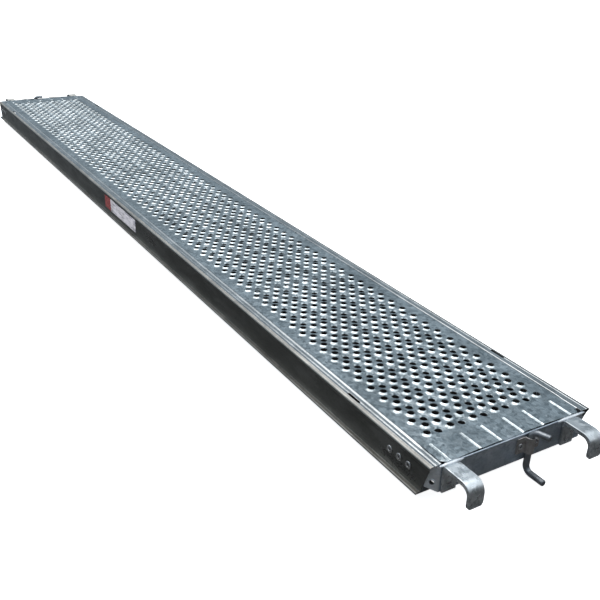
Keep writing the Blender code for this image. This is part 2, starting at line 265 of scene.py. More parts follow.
def sides_of(path, thickness):
    """The two offset lines of a sheet whose middle line is path, with mitred corners."""
    left, right = [], []
    for index, point in enumerate(path):
        before = path[max(index - 1, 0)]
        after = path[min(index + 1, len(path) - 1)]
        first = (point - before) if index else (after - point)
        second = (after - point) if index < len(path) - 1 else (point - before)
        first, second = first.normalized(), second.normalized()
        normal = Vector((-first.y - second.y, first.x + second.x)).normalized()
        stretch = 1 / max(normal.dot(Vector((-first.y, first.x))), 0.5)
        left.append(point + normal * (thickness / 2 * stretch))
        right.append(point - normal * (thickness / 2 * stretch))
    return left, right


def skin(bm, rows):
    """Faces between each closed row of vertices and the next."""
    for row, following in zip(rows, rows[1:]):
        for index in range(len(row)):
            after = (index + 1) % len(row)
            bm.faces.new((row[index], row[after], following[after], following[index]))


def loft(rings, bm=None):
    """A closed skin over rings of points, with a face across the first and the last ring."""
    bm = bm or bmesh.new()
    rows = [[bm.verts.new(point) for point in ring] for ring in rings]
    skin(bm, rows)
    ends = [bm.faces.new(rows[0][::-1]), bm.faces.new(rows[-1])]
    bmesh.ops.triangulate(bm, faces=ends)
    return bm


def bar_ring(centre, across, along, half_thick, half_wide, radii, steps=4):
    """A rounded rectangle, thick along `across` and wide along `along`."""
    ring = []
    for corner, (side, end) in enumerate(((1, 1), (-1, 1), (-1, -1), (1, -1))):
        radius = radii[corner]
        for step in range(steps + 1):
            angle = math.pi / 2 * (corner + step / steps)
            ring.append(centre + across * (side * (half_thick - radius) + radius * math.cos(angle))
                        + along * (end * (half_wide - radius) + radius * math.sin(angle)))
    return ring


def turned(profile, steps, bm=None, matrix=None):
    """A ring turned about Z from a closed (radius, height) profile that stays off the axis."""
    bm = bm or bmesh.new()
    matrix = matrix or Matrix.Identity(4)
    rings = []
    for step in range(steps):
        angle = 2 * math.pi * step / steps
        east, north = math.cos(angle), math.sin(angle)
        rings.append([bm.verts.new(matrix @ Vector((radius * east, radius * north, height)))
                      for radius, height in profile])
    skin(bm, rings + rings[:1])
    return bm


def round_cutter(radius, length):
    bm = bmesh.new()
    bmesh.ops.create_cone(bm, cap_ends=True, segments=24, radius1=radius, radius2=radius, depth=length)
    return finish_mesh("round cutter", bm)


def slot_cutter(width, length, height):
    """A slot along Y with round ends."""
    reach = (length - width) / 2
    outline = arc((0, reach), width / 2, 0, 180, 8) + arc((0, -reach), width / 2, 180, 360, 8)
    rings = [[(point.x, point.y, level) for point in outline] for level in (-height / 2, height / 2)]
    return finish_mesh("slot cutter", loft(rings))


def carved(shape, cutters):
    """A copy of a mesh with each (cutter mesh, matrix) taken away."""
    target = linked("target", shape)
    guides = []
    for cutter, matrix in cutters:
        guide = linked("cutter", cutter)
        guide.matrix_world = matrix
        guides.append(guide)
        modifier = target.modifiers.new("cut", "BOOLEAN")
        modifier.operation = "DIFFERENCE"
        modifier.solver = "EXACT"
        modifier.object = guide
    bpy.context.view_layer.update()
    result = bpy.data.meshes.new_from_object(target.evaluated_get(bpy.context.evaluated_depsgraph_get()))
    for item in [target] + guides:
        bpy.data.objects.remove(item, do_unlink=True)
    result.shade_smooth()
    result.set_sharp_from_angle(angle=math.radians(38))
    return result


# ---- finishes

def shader_of(name):
    made = bpy.data.materials.new(name)
    made.use_nodes = True
    tree = made.node_tree
    return made, tree, tree.nodes["Principled BSDF"]


def feed(tree, sockets, values):
    """Link each socket, or set it; a colour's alpha is left out."""
    for socket, value in zip(sockets, values):
        if isinstance(value, bpy.types.NodeSocket):
            tree.links.new(value, socket)
        else:
            socket.default_value = (*value, 1.0) if socket.type == "RGBA" else value


def new_node(tree, kind, **inputs):
    """A shader node with some of its inputs linked or set; a _ stands for a space in an input's name."""
    made = tree.nodes.new("ShaderNode" + kind)
    feed(tree, [made.inputs[name.replace("_", " ")] for name in inputs], inputs.values())
    return made


def ramp(tree, source, stops):
    """A colour ramp; a stop's colour is a triple or, for grey, one number in a tuple."""
    made = new_node(tree, "ValToRGB", Fac=source)
    elements = made.color_ramp.elements
    while len(elements) < len(stops):
        elements.new(0.5)
    for element, (place, colour) in zip(elements, stops):
        element.position = place
        element.color = (*colour, 1.0) if len(colour) == 3 else (colour[0],) * 3 + (1.0,)
    return made.outputs["Color"]


def mixed(tree, factor, first, second):
    made = new_node(tree, "Mix")
    made.data_type = "RGBA"
    made.clamp_factor = True
    colours = [socket for socket in made.inputs if socket.type == "RGBA"]
    feed(tree, [made.inputs["Factor"]] + colours, (factor, first, second))
    return next(socket for socket in made.outputs if socket.type == "RGBA")


def math_node(tree, operation, first, second=0.0, third=0.0):
    made = new_node(tree, "Math")
    made.operation = operation
    feed(tree, made.inputs, (first, second, third))
    return made.outputs[0]


def vector_math(tree, operation, first, second):
    """Like math_node, for vectors; a scale's second input is its factor."""
    made = new_node(tree, "VectorMath")
    made.operation = operation
    feed(tree, (made.inputs[0], made.inputs["Scale" if operation == "SCALE" else 1]), (first, second))
    return made.outputs["Value" if operation == "DOT_PRODUCT" else "Vector"]


def object_place(tree):
    """Object coordinates, which are metres in the plank's own frame."""
    return new_node(tree, "TexCoord").outputs["Object"]


def place_axes(tree):
    return new_node(tree, "SeparateXYZ", Vector=object_place(tree)).outputs


def stretched(tree, scale):
    """Object coordinates with a scale for each axis."""
    return new_node(tree, "Mapping", Scale=scale, Vector=object_place(tree)).outputs["Vector"]


def noise(tree, scale, detail=3.0, rough=0.55):
    """Noise whose features are about 1 / scale metres long on each axis."""
    place = stretched(tree, scale)
    return new_node(tree, "TexNoise", Scale=1.0, Detail=detail, Roughness=rough, Vector=place).outputs["Fac"]


def crystals(tree, size, streak):
    """Two random tones for each zinc crystal, whose borders wander a little."""
    warp = new_node(tree, "TexNoise", Scale=2.5 * size, Vector=stretched(tree, (1.0, 1.0, 1.0)))
    wander = vector_math(tree, "SCALE", warp.outputs["Color"], 0.9 / size)
    place = vector_math(tree, "ADD", stretched(tree, (1.0, streak, 1.0)), wander)
    cells = new_node(tree, "TexVoronoi", Scale=size, Vector=place)
    tone = new_node(tree, "SeparateColor", Color=cells.outputs["Color"])
    return tone.outputs["Red"], tone.outputs["Green"]


def relief(tree, height, strength, distance, **under):
    """A bump; under may hold the Normal that it starts from."""
    made = new_node(tree, "Bump", Strength=strength, Distance=distance, Height=height, **under)
    return made.outputs["Normal"]


def zinc(name, dark, light, grain, size, rough, streak=1.0, wear=0.3, stain=0.5, bump=0.2, hammer=0.1):
    """Galvanised steel: small crystals, cloudy stains and fine scratches along the rolling direction."""
    made, tree, shader = shader_of(name)
    tone, other = crystals(tree, size, streak)
    clouds = ramp(tree, noise(tree, (14.0, 8.0, 14.0), 4.0, 0.6), ((0.40, (0.0,)), (0.68, (1.0,))))
    speckle = ramp(tree, noise(tree, (240.0, 160.0, 240.0), 2.0), ((0.40, (0.0,)), (0.66, (1.0,))))
    base = mixed(tree, math_node(tree, "MULTIPLY_ADD", tone, 0.9, 0.1), dark, light)
    base = mixed(tree, math_node(tree, "MULTIPLY", speckle, 0.5), base, light)
    base = mixed(tree, math_node(tree, "MULTIPLY", clouds, stain), base, tuple(value * 0.6 for value in dark))
    scratch = noise(tree, grain, 2.0, 0.7)
    bright = ramp(tree, scratch, ((0.58, (0.0,)), (0.72, (1.0,))))
    worn = tuple(min(1.0, value * 1.3) for value in light)
    base = mixed(tree, math_node(tree, "MULTIPLY", bright, wear), base, worn)
    tree.links.new(base, shader.inputs["Base Color"])
    shader.inputs["Metallic"].default_value = 0.92
    polish = ramp(tree, other, ((0.0, (rough * 0.8,)), (1.0, (rough * 1.25,))))
    tree.links.new(polish, shader.inputs["Roughness"])
    dents = relief(tree, noise(tree, (150.0, 110.0, 150.0), 2.0), hammer, 0.002)
    tree.links.new(relief(tree, scratch, bump, 0.0003, Normal=dents), shader.inputs["Normal"])
    return made


def label_film():
    """A pale printed film with grey lines, and a dull red block on its far fifth."""
    made, tree, shader = shader_of("label film")
    low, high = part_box("side_label")
    along = place_axes(tree)["Y"]
    lines = ramp(tree, noise(tree, (1.0, 25.0, 260.0), 1.0), ((0.52, (0.0,)), (0.60, (1.0,))))
    paper = mixed(tree, lines, (0.50, 0.48, 0.52), (0.24, 0.24, 0.28))
    dirt = ramp(tree, noise(tree, (60.0, 60.0, 60.0), 4.0), ((0.45, (0.0,)), (0.75, (0.6,))))
    paper = mixed(tree, dirt, paper, (0.20, 0.19, 0.19))
    block = math_node(tree, "GREATER_THAN", along, high.y - 0.2 * (high.y - low.y))
    tree.links.new(mixed(tree, block, paper, (0.20, 0.035, 0.035)), shader.inputs["Base Color"])
    shader.inputs["Roughness"].default_value = 0.5
    return made


def make_finishes():
    """For each zinc: dark and light tone, scratches and crystals per metre, roughness."""
    rolled, pressed = (900.0, 14.0, 900.0), (60.0, 400.0, 400.0)
    bent, turned_bar = (420.0, 60.0, 60.0), (500.0, 500.0, 160.0)
    return {
        "deck": zinc("galvanised deck", (0.22, 0.26, 0.28), (0.72, 0.78, 0.81), (420.0, 60.0, 420.0), 140.0,
                     0.20, hammer=0.12),
        "beam": zinc("galvanised beam", (0.36, 0.38, 0.39), (0.64, 0.66, 0.67), rolled, 110.0, 0.20,
                     streak=0.3),
        "edge": zinc("worn edge", (0.25, 0.245, 0.235), (0.42, 0.41, 0.385), rolled, 110.0, 0.40, streak=0.3),
        # a darker, warm-toned zinc on the lip's upward face
        "lip": zinc("dark lip", (0.15, 0.145, 0.13), (0.29, 0.28, 0.26), rolled, 110.0, 0.40, streak=0.3),
        # painted shade: this dark zinc stands for the shade and dark reflections on the webs, the beams'
        # inner faces and the corner bores
        "web": zinc("web painted shade", (0.14, 0.145, 0.14), (0.225, 0.23, 0.225), rolled, 90.0, 0.34, streak=0.2,
                    wear=0.5),
        # painted shade: the cap's plates are darkened for the dark reflection they take; painted light: its
        # slanted corner plates, the corner hole collars and the welds take a paler, lit copy
        "cap": zinc("cap painted shade", (0.31, 0.37, 0.44), (0.54, 0.60, 0.67), pressed, 90.0, 0.36),
        "corner": zinc("corner painted light", (0.58, 0.62, 0.66), (0.82, 0.86, 0.90), pressed, 90.0, 0.55),
        "forged": zinc("galvanised forging", (0.34, 0.37, 0.39), (0.80, 0.84, 0.87), bent, 120.0, 0.32,
                       stain=0.8, wear=0.5),
        # painted light: the far hooks' straps and the far latch rod take paler copies of the near finishes
        "worn": zinc("far forging painted light", (0.50, 0.49, 0.46), (0.80, 0.78, 0.74), bent, 120.0, 0.55),
        "rod": zinc("galvanised rod", (0.19, 0.205, 0.225), (0.31, 0.33, 0.355), turned_bar, 150.0, 0.40),
        "pale rod": zinc("far rod painted light", (0.42, 0.45, 0.48), (0.62, 0.66, 0.70), turned_bar, 150.0, 0.45),
        # a darker, brownish grey zinc on the latch saddles
        "saddle": zinc("brownish saddle", (0.30, 0.28, 0.27), (0.48, 0.47, 0.47), (300.0,) * 3, 150.0, 0.42),
        "rivet": zinc("plated rivet", (0.38, 0.39, 0.40), (0.62, 0.63, 0.64), (900.0,) * 3, 300.0, 0.30),
        "label": label_film(),
    }


# ---- deck sheet

def lattice():
    """Hole sites: (x, y, way), where way is 1 for a raised dimple and -1 for a sunk one."""
    row_pitch = 2 * (HALF_LENGTH - FIRST_ROW) / (ROW_COUNT - 1)
    sites = []
    for row in range(ROW_COUNT):
        y = -HALF_LENGTH + FIRST_ROW + row * row_pitch
        shifted = row % 2
        for step in range(HOLES_IN_ROW - shifted):
            way = -1 if step % 2 and not shifted else 1
            column = step / 2 + shifted / 4 - (HOLES_IN_ROW - 1) / 4
            sites.append((column * COLUMN_PITCH, y, way))
    return sites, row_pitch


def cell_corners(row_pitch):
    """Half width, shoulder and tip of the hexagon nearer to a site than to its neighbours."""
    half = COLUMN_PITCH / 4
    shoulder = (row_pitch ** 2 - half ** 2) / (2 * row_pitch)
    return half, shoulder, row_pitch - shoulder


def cell_outline(row_pitch):
    half, shoulder, tip = cell_corners(row_pitch)
    corners = [(half, -shoulder), (half, shoulder), (0, tip),
               (-half, shoulder), (-half, -shoulder), (0, -tip)]
    outline = []
    for start, end in zip(corners, corners[1:] + corners[:1]):
        for step in range(SIDE_SPLITS):
            outline.append(Vector(start).lerp(Vector(end), step / SIDE_SPLITS))
    return outline


def sheet_sag(places, sites, row_pitch):
    """How far the sheet is drawn down round the sunk dimples; nothing along the block's border."""
    sag = np.zeros(len(places))
    order = np.argsort(places[:, 1])
    ordered = places[order]
    drawn = np.zeros(len(places))
    for x, y, way in sites:
        if way < 0:
            low, high = np.searchsorted(ordered[:, 1], (y - SAG_REACH, y + SAG_REACH))
            apart = (ordered[low:high, 0] - x) ** 2 + (ordered[low:high, 1] - y) ** 2
            drawn[low:high] += SAG_DEPTH * np.exp(-apart / SAG_RADIUS ** 2)
    sag[order] = drawn
    border = [point for edge in block_border(sites, row_pitch) for point in edge]
    finder = KDTree(len(border))
    for index, point in enumerate(border):
        finder.insert((*point, 0.0), index)
    finder.balance()
    for index, (x, y) in enumerate(places):
        if finder.find((x, y, 0.0))[2] < SAME_PLACE:
            sag[index] = 0.0
    return sag


def perforated_block(bm, sites, row_pitch):
    """The cells round the holes: a dimpled collar above, a plain one below and the hole's wall."""
    outline = cell_outline(row_pitch)
    around = [point.normalized() for point in outline]
    layers = {}
    for way, foot, shoulder, rise in ((1, DIMPLE_RADIUS, SHOULDER_RADIUS, DIMPLE_HEIGHT),
                                      (-1, SUNK_RADIUS, SUNK_SHOULDER_RADIUS, -SUNK_DEPTH)):
        layers[way] = (
            (outline, 0.0, 0.0),
            ([point * foot for point in around], SKIRT_SHARE * rise, 0.0),
            ([point * shoulder for point in around], SHOULDER_SHARE * rise, 0.0),
            ([point * HOLE_RADIUS for point in around], rise, 0.0),
            ([point * HOLE_RADIUS for point in around], rise, -SHEET),
            (outline, 0.0, -SHEET),
        )
    places = np.array([(x + point.x, y + point.y)
                       for x, y, way in sites for points, _, _ in layers[way] for point in points])
    sags = iter(sheet_sag(places, sites, row_pitch))
    for x, y, way in sites:
        rows = []
        for points, rise, drop in layers[way]:
            level = DECK_TOP + rise + drop
            rows.append([bm.verts.new((x + point.x, y + point.y, level - next(sags))) for point in points])
        skin(bm, rows)


def rib_rows(x, end):
    """Points of a pressed rib that starts at the deck's end and fades out inwards."""
    across, along = 8, 28
    rows = []
    for step in range(along + 1):
        share = step / along
        fade = math.sqrt(max(0.0, 1 - max(0.0, (share - 1 + RIB_FADE) / RIB_FADE) ** 2))
        y = end * (HALF_LENGTH - share * RIB_LENGTH)
        row = []
        for side in range(across + 1):
            offset = (side / across - 0.5) * RIB_WIDTH
            dome = math.cos(math.pi * (side / across - 0.5)) ** 1.3 if 0 < side < across else 0.0
            row.append(Vector((end * -x + offset, y, DECK_TOP + RIB_HEIGHT * dome * fade)))
        rows.append(row)
    return rows


def add_rib(bm, rows):
    """Skin a rib and give the loop of points round its foot."""
    made = [[bm.verts.new(point) for point in row] for row in rows]
    for row, following in zip(made, made[1:]):
        for side in range(len(row) - 1):
            bm.faces.new((row[side], row[side + 1], following[side + 1], following[side]))
    rim = rows[0] + [row[-1] for row in rows[1:-1]] + rows[-1][::-1] + [row[0] for row in rows[-2:0:-1]]
    return [point.xy for point in rim]


def deck_outline():
    """In plan, with a notch at each corner."""
    inner_x, inner_y = DECK_INSET - NOTCH_WIDTH, HALF_LENGTH - NOTCH_DEPTH
    corner = [(inner_x, HALF_LENGTH), (inner_x, inner_y), (DECK_INSET, inner_y)]
    return (corner + [(x, -y) for x, y in reversed(corner)]
            + [(-x, -y) for x, y in corner] + [(-x, y) for x, y in reversed(corner)])


def block_border(sites, row_pitch):
    """Edges of the hexagon cells that no neighbouring cell shares."""
    outline = cell_outline(row_pitch)
    seen = {}
    for x, y, _ in sites:
        corners = [Vector((x + point.x, y + point.y)) for point in outline]
        for start, end in zip(corners, corners[1:] + corners[:1]):
            middle = (start + end) / 2
            key = (round(middle.x, 5), round(middle.y, 5))
            seen[key] = None if key in seen else (start, end)
    return [edge for edge in seen.values() if edge]


def flat_part(bm, sites, row_pitch, holes, level):
    """The flat sheet round the block and the ribs, filled by triangles, at one height."""
    points, edges = [], []
    for loop in [deck_outline()] + holes:
        start = len(points)
        points.extend(Vector(point) for point in loop)
        edges.extend((start + step, start + (step + 1) % len(loop)) for step in range(len(loop)))
    for start, end in block_border(sites, row_pitch):
        edges.append((len(points), len(points) + 1))
        points.extend((start, end))
    made, _, faces, *_ = delaunay_2d_cdt(points, edges, [], 0, 1e-6)
    half, shoulder, tip = cell_corners(row_pitch)
    places = np.array([(x, y) for x, y, _ in sites])
    verts = [bm.verts.new((*point, level)) for point in made]
    for face in faces:
        centre = sum((made[index] for index in face), Vector((0, 0))) / len(face)
        reach = np.abs(places - centre)
        in_block = (reach[:, 0] < half) & (reach[:, 1] < tip - reach[:, 0] * (tip - shoulder) / half)
        in_notch = abs(centre.x) > DECK_INSET - NOTCH_WIDTH and abs(centre.y) > HALF_LENGTH - NOTCH_DEPTH
        end = -1 if centre.y < 0 else 1
        near_rib = any(abs(centre.x + end * rib) < RIB_WIDTH / 2 for rib in RIB_X)
        in_rib = bool(holes) and abs(centre.y) > HALF_LENGTH - RIB_LENGTH and near_rib
        if not (in_block.any() or in_notch or in_rib):
            bm.faces.new([verts[index] for index in face])


def close_rim(bm):
    """Walls between the upper and the lower sheet along the deck's outline."""
    inner_x, inner_y = DECK_INSET - NOTCH_WIDTH - SAME_PLACE, HALF_LENGTH - NOTCH_DEPTH - SAME_PLACE
    rim = [edge for edge in bm.edges if edge.is_boundary
           and all(abs(vert.co.x) > inner_x or abs(vert.co.y) > inner_y for vert in edge.verts)]
    bmesh.ops.bridge_loops(bm, edges=rim)


def make_deck(finishes):
    sites, row_pitch = lattice()
    bm = bmesh.new()
    perforated_block(bm, sites, row_pitch)
    ribs = [add_rib(bm, rib_rows(x, end)) for end in (-1, 1) for x in RIB_X]
    flat_part(bm, sites, row_pitch, ribs, DECK_TOP)
    flat_part(bm, sites, row_pitch, [], DECK_TOP - SHEET)
    bmesh.ops.remove_doubles(bm, verts=bm.verts, dist=SAME_PLACE)
    loose = [vert for vert in bm.verts if not vert.link_faces]
    bmesh.ops.delete(bm, geom=loose, context="VERTS")
    close_rim(bm)
    shape = finish_mesh("deck", bm, 33)
    add_piece("deck", shape, "plank", "deck_sheet", finishes["deck"])


# ---- beams

def beam_path(bead):
    """Middle line of the beam's sheet, inwards from the outer edge and up from the deck's top."""
    flat = -SHEET / 2
    ledge = -SHEET - GAP - SHEET / 2
    web = WEB_OUTER + SHEET / 2
    bottom = BEAM_BOTTOM - DECK_TOP + SHEET / 2
    hem = bottom + 2 * SHEET
    lip = LIP_EDGE + HALF_WIDTH + SHEET / 2
    flange = FLANGE_END - SHEET / 2
    crest = flat + bead * BEAD_HEIGHT
    points = [
        (LEDGE_END, ledge), (BEAD_FOOT, ledge), (0.0209, crest - 0.0003), (0.0198, crest), (0.0174, flat),
        (0.0126, flat), (0.0103, flat - 0.0005), (0.0092, flat - 0.0005), (0.0077, flat - 0.0001),
        (0.0066, flat - 0.0001), (0.0036, flat - 0.0008), (0.0018, flat - 0.0017),
        (SHEET / 2, flat - 0.0027), (SHEET / 2, -0.0055), (web, -0.0080), (web, hem),
        (lip, hem), (lip, bottom), (flange, bottom), (flange, bottom + FLANGE_LIP),
    ]
    return rounded([Vector(point) for point in points], FOLD_RADIUS, steps=4)


def beam_ring(end, from_end, bead):
    """One section of the left beam; sections near an end lean with its cut."""
    slope = END_SETBACK / (DECK_TOP - BEAM_BOTTOM)
    left, right = sides_of(beam_path(bead), SHEET)
    lean = max(0.0, 1 - from_end / BEAD_START)
    ring = []
    for point in left + right[::-1]:
        on_ledge = point.x > BEAD_FOOT - 0.001 and point.y > -LEDGE_DEPTH
        setback = from_end + lean * ((LEDGE_SETBACK if on_ledge else 0.0) - point.y * slope)
        ring.append((-HALF_WIDTH + point.x, end * (HALF_LENGTH - setback), DECK_TOP + point.y))
    return ring


def left_beam():
    steps = 4
    stations = [(0.0, LOW_BEAD)]
    for step in range(steps + 1):
        share = step / steps
        stations.append((BEAD_START + (BEAD_FULL - BEAD_START) * share,
                         LOW_BEAD + (1 - LOW_BEAD) * math.sin(math.pi / 2 * share) ** 2))
    rings = [beam_ring(-1, place, bead) for place, bead in stations]
    rings += [beam_ring(1, place, bead) for place, bead in reversed(stations)]
    cutters = []
    for end in (-1, 1):
        for from_end in WEB_RIVET_Y:
            place = (-HALF_WIDTH + WEB_OUTER, end * (HALF_LENGTH - from_end), DECK_TOP - WEB_RIVET_DEPTH)
            cutters.append((round_cutter(WEB_RIVET_HOLE, WEB_CUT), Matrix.Translation(place) @ ACROSS))
        place = (-HALF_WIDTH + SLOT_INSET, end * (HALF_LENGTH - SLOT_FROM_END), DECK_TOP - SLOT_MIDDLE)
        cutters.append((slot_cutter(SLOT_WIDTH, SLOT_LENGTH, SLOT_CUT), Matrix.Translation(place)))
    return carved(finish_mesh("side beam", loft(rings)), cutters)


def beam_finish(face):
    """Place in BEAM_FINISHES for a face of the left beam."""
    inwards = face.center.x + HALF_WIDTH
    depth = DECK_TOP - face.center.z
    # faces below the web's top, and the fold under the top edge, take the web's painted shade; the lip's
    # upward face takes its own dark zinc
    if depth > WEB_DEPTH:
        on_lip = inwards < WEB_OUTER - GAP and face.normal.z > 0.3
        return 3 if on_lip else 1
    if depth > EDGE_DEPTH and inwards < EDGE_FOLD:
        return 1
    return 2 if inwards < EDGE_BAND else 0


BEAM_FINISHES = ("beam", "web", "edge", "lip")


def make_beams(finishes):
    for side, matrix in (("left", Matrix.Identity(4)), ("right", half_turn())):
        shape = left_beam()
        dress(shape, [finishes[kind] for kind in BEAM_FINISHES], beam_finish)
        shape.transform(matrix)
        add_piece(f"beam_{side}", shape, "plank", f"side_beam_{side}", None)


# ---- end caps

def cap_stations():
    """Middle line of the near end cap in plan, with its lower and upper edges: (point, low, high)."""
    side = CAP_HALF - CAP_SHEET / 2
    front = -HALF_LENGTH - GAP - CAP_SHEET / 2
    back = CAP_HIGH.y
    corners = [(side, back), (side, front + CHAMFER), (side - CHAMFER, front), (0, front)]
    path = rounded([Vector(corner) for corner in corners], CAP_BEND, steps=5)
    path[1:1] = [Vector((side, y)) for y in (back - 0.003, back - WING_TIP, front + 0.03)]
    half = []
    for point in path[:-1]:
        taper = max(0.0, 1 - (back - point.y) / WING_TIP) ** 2
        turn = min(1.0, max(0.0, (side - point.x) / CHAMFER))
        low = WING_LOW + 0.008 * taper + (CAP_LOW.z - DECK_TOP - WING_LOW) * turn
        high = WING_HIGH - 0.007 * taper
        if turn > 0 or point.y < front + CHAMFER:
            high = WING_FRONT_HIGH + (CAP_HIGH.z - DECK_TOP - WING_FRONT_HIGH) * turn
        half.append((point, DECK_TOP + low, DECK_TOP + high))
    return half + [(Vector((-point.x, point.y)), low, high) for point, low, high in reversed(half)]


def corner_hole(side):
    """Place of the small hole in a corner plate: its matrix has Z pointing out of the plate."""
    inset = (CAP_SHEET + CHAMFER) / 2
    middle = near_place(side * (CAP_HALF - inset), inset - CAP_FRONT, -CORNER_HOLE_DEPTH)
    slant = Matrix.Rotation(side * math.pi / 4, 4, "Z") @ OUTWARD
    return Matrix.Translation(middle) @ slant @ Matrix.Translation((0, 0, CAP_SHEET / 2))


def upright_ring(first, second, low, high, radii, steps=4):
    """A section of upright sheet between two points in plan and two heights."""
    across = first - second
    centre = Vector((*(first + second) / 2, (low + high) / 2))
    return bar_ring(centre, Vector((*across.normalized(), 0)), Vector((0, 0, 1)), across.length / 2,
                    (high - low) / 2, radii, steps)


def near_cap():
    stations = cap_stations()
    left, right = sides_of([point for point, _, _ in stations], CAP_SHEET)
    fold, edge = 0.0016, 0.0005
    rings = []
    for (_, low, high), first, second in zip(stations, left, right):
        outer, inner = (first, second) if first.length > second.length else (second, first)
        rings.append(upright_ring(outer, inner, low, high, (fold, edge, edge, edge)))
    cutters = []
    for side in (-1, 1):
        for from_end in WEB_RIVET_Y:
            place = Matrix.Translation(near_place(side * (HALF_WIDTH - 0.005), from_end, -WEB_RIVET_DEPTH))
            cutters.append((round_cutter(WEB_RIVET_HOLE, CAP_CUT), place @ ACROSS))
        place = Matrix.Translation(saddle_rivet_place(side))
        cutters.append((round_cutter(SADDLE_RIVET_HOLE, CAP_CUT), place @ OUTWARD))
        cutters.append((round_cutter(CORNER_HOLE, CORNER_CUT), corner_hole(side)))
    return carved(finish_mesh("end cap", loft(rings)), cutters)


def add_weld(bm, start, end):
    """A rippled weld bead on the cap's top edge, between two places across the plank."""
    count, sides = 26, 14
    rings = []
    for step in range(count + 1):
        share = step / count
        ripple = 1 + 0.07 * math.sin(step * 2.1)
        taper = min(1.0, 0.25 + 3.0 * min(share, 1.05 - share))
        radius = WELD_RADIUS * taper * ripple
        centre = near_place(start + (end - start) * share, 0.0006 - CAP_FRONT, -0.0028)
        rings.append([centre + Vector((0, radius * math.cos(turn), 0.85 * radius * math.sin(turn)))
                      for turn in (2 * math.pi * place / sides for place in range(sides))])
    loft(rings, bm)


def cap_trim():
    """Collars round the corner holes, and the weld beside each hook."""
    bm = bmesh.new()
    collar = [(CORNER_HOLE, 0.0), (CORNER_HOLE + 0.0022, 0.0), (CORNER_HOLE + 0.0019, 0.0006),
              (CORNER_HOLE + 0.0010, 0.0010), (CORNER_HOLE + 0.0002, 0.0007)]
    for side in (-1, 1):
        turned(collar, 24, bm, corner_hole(side))
    for side, hook in zip((-1, 1), HOOK_MIDDLES):
        add_weld(bm, side * (CAP_HALF - CHAMFER + 0.002), hook - side * 0.024)
    return bm


def in_corner_bore(face):
    """Whether a face of the near cap belongs to the wall of a corner hole."""
    for side in (-1, 1):
        bore = corner_hole(side).inverted()
        centre = bore @ face.center
        facing = bore @ (face.center + face.normal) - centre
        if centre.length < 1.1 * CORNER_HOLE and abs(facing.z) < 0.5:
            return True
    return False


def cap_finish(face):
    """Place in CAP_FINISHES for a face of the near cap."""
    if in_corner_bore(face):
        return 2
    # slanted corner plates facing out take painted light, the rest of the cap painted shade
    return int(0.3 < abs(face.normal.x) < 0.9 and face.normal.y < -0.3)


# the cap in painted shade, its slanted corner plates in painted light and its corner bores in the web's
# painted shade
CAP_FINISHES = ("cap", "corner", "web")
TRIM_FINISHES = ("corner", "web")


def make_caps(finishes):
    for end, matrix in ENDS:
        shape = near_cap()
        dress(shape, [finishes[kind] for kind in CAP_FINISHES], cap_finish)
        shape.transform(matrix)
        add_piece(f"cap_{end}", shape, "plank", f"end_cap_{end}", None)
        # the collars and the welds take the corner plates' painted light, the bores the web's painted shade
        trim = finish_mesh("cap trim", cap_trim(), 50)
        dress(trim, [finishes[kind] for kind in TRIM_FINISHES], in_corner_bore)
        trim.transform(matrix)
        add_piece(f"cap_trim_{end}", trim, "plank", None, None)


# ---- hooks

def hook_lines():
    """Matched outer and inner lines of a hook in side view: out from the deck's end, up from its top."""
    back = CAP_FRONT + GAP
    front = back + LEG_THICKNESS
    outer = -HALF_LENGTH - HOOK_LOW.y
    inner = outer - TIP_THICKNESS
    under = STRAP_TOP - STRAP_THICKNESS
    foot = HOOK_LOW.z - DECK_TOP
    fillet = 0.0065
    heel = 0.0075
    outer_line, inner_line = ([Vector((out, up)) for up in (foot, foot + 0.004, LEG_TOP)]
                              for out in (back, front))
    outer_line += arc((back + heel, STRAP_TOP - heel), heel, 180, 90, 6)
    inner_line += arc((front + fillet, under - fillet), fillet, 180, 90, 6)
    for line, up in ((outer_line, STRAP_TOP), (inner_line, under)):
        line.extend(Vector((out, up)) for out in (0.020, 0.030))
    outer_line += arc((outer - OUTER_BEND, STRAP_TOP - OUTER_BEND), OUTER_BEND, 90, 0, 12)
    inner_line += arc((inner - INNER_BEND, under - INNER_BEND), INNER_BEND, 90, 0, 12)
    bend_end = STRAP_TOP - OUTER_BEND
    for share in (0.35, 0.60, 0.75, 0.87, 0.95, 1.0):
        height = bend_end + share * (TIP_LOW - bend_end)
        outer_line.append(Vector((outer, height)))
        inner_line.append(Vector((inner, height - 0.0005 * (1 - share))))
    return outer_line, inner_line


def hook_half_width(out, height):
    """Narrower at its leg, and rounded at the corners of its tip."""
    half = (HOOK_HIGH.x - HOOK_LOW.x) / 2
    if out > 0.03 and height < TIP_LOW + TIP_CORNER:
        depth = TIP_LOW + TIP_CORNER - height
        return half - 0.7 * (TIP_CORNER - math.sqrt(max(0.0, TIP_CORNER ** 2 - depth ** 2)))
    if height < LEG_TOP and out < 0.03:
        return half - 0.001
    return half


def near_hook(x):
    outer_line, inner_line = hook_lines()
    sideways = Vector((1, 0, 0))
    rings = []
    for index, (outer, inner) in enumerate(zip(outer_line, inner_line)):
        across = Vector((0, -(outer.x - inner.x), outer.y - inner.y))
        middle = (outer + inner) / 2
        thick = across.length / 2
        edge = min(HOOK_EDGE, 0.75 * thick)
        if index == len(outer_line) - 1:
            thick *= 0.7
        rings.append(bar_ring(near_place(x, -middle.x, middle.y), across.normalized(), sideways, thick,
                              hook_half_width(middle.x, outer.y), (edge,) * 4))
    return loft(rings)


def make_hooks(finishes):
    """The far hooks are painted light on their straps and painted shade on their sides."""
    for (end, matrix), kinds in zip(ENDS, (("forged", "forged"), ("worn", "rod"))):
        for side, x in zip(("left", "right"), HOOK_MIDDLES):
            shape = finish_mesh("hook", near_hook(x), 45, matrix)
            dress(shape, [finishes[kind] for kind in kinds], lambda face: int(abs(face.normal.x) > 0.7))
            add_piece(f"tube_hook_{end}_{side}", shape, "plank", f"hook_{end}_{side}", None)


# ---- latches

